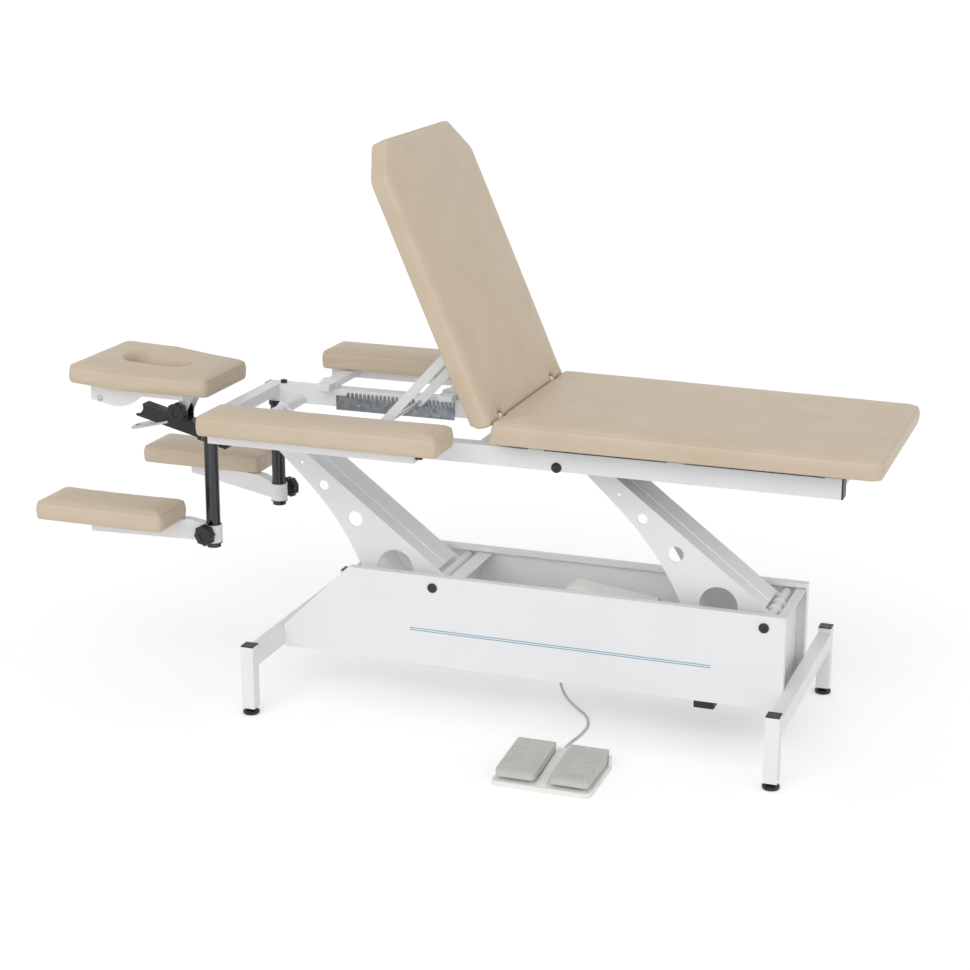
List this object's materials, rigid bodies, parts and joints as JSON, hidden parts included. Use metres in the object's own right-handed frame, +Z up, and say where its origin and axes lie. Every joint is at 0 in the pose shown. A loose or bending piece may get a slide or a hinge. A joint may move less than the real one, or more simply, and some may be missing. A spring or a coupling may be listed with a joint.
{
  "type": "electric massage table",
  "caption": "Electric massage and treatment couch with parallelogram lift, ratchet backrest, tilting face rest, side armrests, lower arm supports and a foot switch.",
  "frame": {"origin": "on the floor under the middle of the base, between the four feet", "axes": "+X from the face rest towards the foot end, +Y away from the foot switch, +Z up"},
  "size_m": [2.2335, 1.0142, 1.5193],
  "materials": {
    "white_coat": "satin powder coat",
    "vinyl": "satin upholstery vinyl",
    "black_plastic": "matte",
    "steel": "bright turned steel",
    "galvanised": "zinc plated",
    "dark_chrome": "polished",
    "grey_plastic": "fine texture",
    "pinstripe": "satin film",
    "pale_plastic": "fine texture",
    "cord_grey": "matte",
    "black_metal": "satin",
    "board": "dark covered underside",
    "nylon": "smooth"
  },
  "bodies": {
    "base": {"side_panel_front": "white_coat", "side_panel_rear": "white_coat", "foot_frame_head": "white_coat", "foot_frame_foot": "white_coat", "lower_pivot_shafts": "steel", "base_plugs": "black_plastic", "base_cross_members": "white_coat", "control_box": "black_plastic", "mains_inlet": "black_plastic", "footswitch_base": "pale_plastic", "cord_gland": "black_plastic", "footswitch_cord": "cord_grey"},
    "pedal_up": {"pedal_up": "grey_plastic"},
    "pedal_down": {"pedal_down": "grey_plastic"},
    "lift_arm_head": {"lift_arm_head_plates": "white_coat", "lift_arm_head_tubes": "white_coat"},
    "lift_arm_foot": {"lift_arm_foot_plates": "white_coat", "lift_arm_foot_tubes": "white_coat"},
    "lift_drive": {"drive_housing": "pale_plastic", "drive_tube": "black_plastic"},
    "drive_rod": {"drive_rod": "steel"},
    "top_frame": {"frame_rails": "white_coat", "upper_pivot_shafts": "steel", "frame_cross_tubes": "white_coat", "support_posts": "dark_chrome", "frame_plugs": "black_plastic", "seat_board": "board", "seat_cushion": "vinyl", "prop_racks": "galvanised", "head_socket": "black_metal", "backrest_hinges": "white_coat"},
    "backrest": {"backrest_board": "board", "backrest_cushion": "vinyl", "backrest_fittings": "white_coat"},
    "prop_strut": {"strut_bars": "white_coat", "strut_rod": "steel"},
    "head_carrier": {"head_carrier": "black_metal"},
    "head_cradle": {"head_cradle": "white_coat", "head_cushion": "vinyl"},
    "head_knob": {"head_knob": "black_plastic"},
    "head_bail": {"head_bail": "steel"},
    "levelling_foot_1": {"levelling_foot_1": "black_plastic"},
    "levelling_foot_2": {"levelling_foot_2": "black_plastic"},
    "levelling_foot_3": {"levelling_foot_3": "black_plastic"},
    "levelling_foot_4": {"levelling_foot_4": "black_plastic"},
    "armrest_front": {"armrest_cushion_front": "vinyl", "armrest_frame_front": "white_coat"},
    "armrest_knob_front": {"armrest_knob_front": "black_plastic"},
    "support_bush_front": {"support_bush_front": "nylon"},
    "support_arm_front": {"support_arm_front": "white_coat", "support_cushion_front": "vinyl"},
    "support_knob_front": {"support_knob_front": "black_plastic"},
    "armrest_rear": {"armrest_cushion_rear": "vinyl", "armrest_frame_rear": "white_coat"},
    "armrest_knob_rear": {"armrest_knob_rear": "black_plastic"},
    "support_bush_rear": {"support_bush_rear": "nylon"},
    "support_arm_rear": {"support_arm_rear": "white_coat", "support_cushion_rear": "vinyl"},
    "support_knob_rear": {"support_knob_rear": "black_plastic"}
  },
  "joints": [
    {"name": "lift", "type": "hinge", "parent": "base", "child": "lift_arm_head", "pos_m": [-0.254, 0, 0.344], "axis": [0, 1, 0], "range_deg": [-28, 11]},
    {"name": "lift_arm_foot_pivot", "type": "hinge", "parent": "base", "child": "lift_arm_foot", "pos_m": [0.629, 0, 0.344], "axis": [0, 1, 0], "range_deg": [-28, 11]},
    {"name": "top_frame_pivot", "type": "hinge", "parent": "lift_arm_head", "child": "top_frame", "pos_m": [-0.776, 0, 0.728], "axis": [0, 1, 0], "range_deg": [-11, 28]},
    {"name": "lift_drive_pivot", "type": "hinge", "parent": "base", "child": "lift_drive", "pos_m": [0.045, 0, 0.292], "axis": [0, 1, 0], "range_deg": [-0.8, 2.04]},
    {"name": "drive_rod_pivot", "type": "hinge", "parent": "lift_arm_foot", "child": "drive_rod", "pos_m": [0.554, 0, 0.229], "axis": [0, 1, 0], "range_deg": [-11.8, 30.04]},
    {"name": "backrest_tilt", "type": "hinge", "parent": "top_frame", "child": "backrest", "pos_m": [-0.0523, 0, 0.84], "axis": [0, 1, 0], "range_deg": [-66.3, 0]},
    {"name": "prop_strut_pivot", "type": "hinge", "parent": "backrest", "child": "prop_strut", "pos_m": [-0.18604, 0, 1.00037], "axis": [0, 1, 0], "range_deg": [0, 111.39]},
    {"name": "head_slide", "type": "slide", "parent": "top_frame", "child": "head_carrier", "axis": [-0.9711, 0, 0.2385], "range_m": [0, 0.05]},
    {"name": "head_tilt", "type": "hinge", "parent": "head_carrier", "child": "head_cradle", "pos_m": [-1.04, 0, 0.722], "axis": [0, 1, 0], "range_deg": [-20, 12]},
    {"name": "head_knob_turn", "type": "hinge", "parent": "head_carrier", "child": "head_knob", "pos_m": [-1.04, 0, 0.722], "axis": [0, -1, 0], "continuous": true},
    {"name": "head_bail_lift", "type": "hinge", "parent": "head_carrier", "child": "head_bail", "pos_m": [-1.08174, 0, 0.68813], "axis": [0, 1, 0], "range_deg": [0, 8]},
    {"name": "pedal_up_press", "type": "hinge", "parent": "base", "child": "pedal_up", "pos_m": [0.11325, -0.361, 0.028], "axis": [1, 0, 0], "range_deg": [0, 2.5], "stiffness_Nm_per_rad": 60},
    {"name": "pedal_down_press", "type": "hinge", "parent": "base", "child": "pedal_down", "pos_m": [0.23975, -0.361, 0.028], "axis": [1, 0, 0], "range_deg": [0, 2.5], "stiffness_Nm_per_rad": 60},
    {"name": "levelling_foot_1_screw", "type": "slide", "parent": "base", "child": "levelling_foot_1", "axis": [0, 0, -1], "range_m": [0, 0.015]},
    {"name": "levelling_foot_2_screw", "type": "slide", "parent": "base", "child": "levelling_foot_2", "axis": [0, 0, -1], "range_m": [0, 0.015]},
    {"name": "levelling_foot_3_screw", "type": "slide", "parent": "base", "child": "levelling_foot_3", "axis": [0, 0, -1], "range_m": [0, 0.015]},
    {"name": "levelling_foot_4_screw", "type": "slide", "parent": "base", "child": "levelling_foot_4", "axis": [0, 0, -1], "range_m": [0, 0.015]},
    {"name": "armrest_front_slide", "type": "slide", "parent": "top_frame", "child": "armrest_front", "axis": [0, -1, 0], "range_m": [0, 0.05]},
    {"name": "armrest_knob_front_turn", "type": "hinge", "parent": "armrest_front", "child": "armrest_knob_front", "pos_m": [-0.201, -0.393, 0.772], "axis": [1, 0, 0], "continuous": true},
    {"name": "support_height_front", "type": "slide", "parent": "top_frame", "child": "support_bush_front", "axis": [0, 0, 1], "range_m": [0, 0.12]},
    {"name": "support_swivel_front", "type": "hinge", "parent": "support_bush_front", "child": "support_arm_front", "pos_m": [-0.857, -0.207, 0.448], "axis": [0, 0, 1], "range_deg": [-20, 60]},
    {"name": "support_knob_front_turn", "type": "hinge", "parent": "support_arm_front", "child": "support_knob_front", "pos_m": [-0.857, -0.207, 0.452], "axis": [-0.1392, -0.9903, 0], "continuous": true},
    {"name": "armrest_rear_slide", "type": "slide", "parent": "top_frame", "child": "armrest_rear", "axis": [0, 1, 0], "range_m": [0, 0.05]},
    {"name": "armrest_knob_rear_turn", "type": "hinge", "parent": "armrest_rear", "child": "armrest_knob_rear", "pos_m": [-0.201, 0.393, 0.772], "axis": [1, 0, 0], "continuous": true},
    {"name": "support_height_rear", "type": "slide", "parent": "top_frame", "child": "support_bush_rear", "axis": [0, 0, 1], "range_m": [0, 0.12]},
    {"name": "support_swivel_rear", "type": "hinge", "parent": "support_bush_rear", "child": "support_arm_rear", "pos_m": [-0.857, 0.207, 0.448], "axis": [0, 0, 1], "range_deg": [-60, 20]},
    {"name": "support_knob_rear_turn", "type": "hinge", "parent": "support_arm_rear", "child": "support_knob_rear", "pos_m": [-0.857, 0.207, 0.452], "axis": [0.4067, 0.9135, 0], "continuous": true}
  ],
  "couplings": [
    {"joint": "lift_arm_foot_pivot", "follows": "lift", "ratio": 1},
    {"joint": "top_frame_pivot", "follows": "lift", "ratio": -1},
    {"joint": "lift_drive_pivot", "follows": "lift", "ratio": -0.073},
    {"joint": "drive_rod_pivot", "follows": "lift", "ratio": -1.073},
    {"joint": "prop_strut_pivot", "follows": "backrest_tilt", "ratio": -1.68}
  ]
}
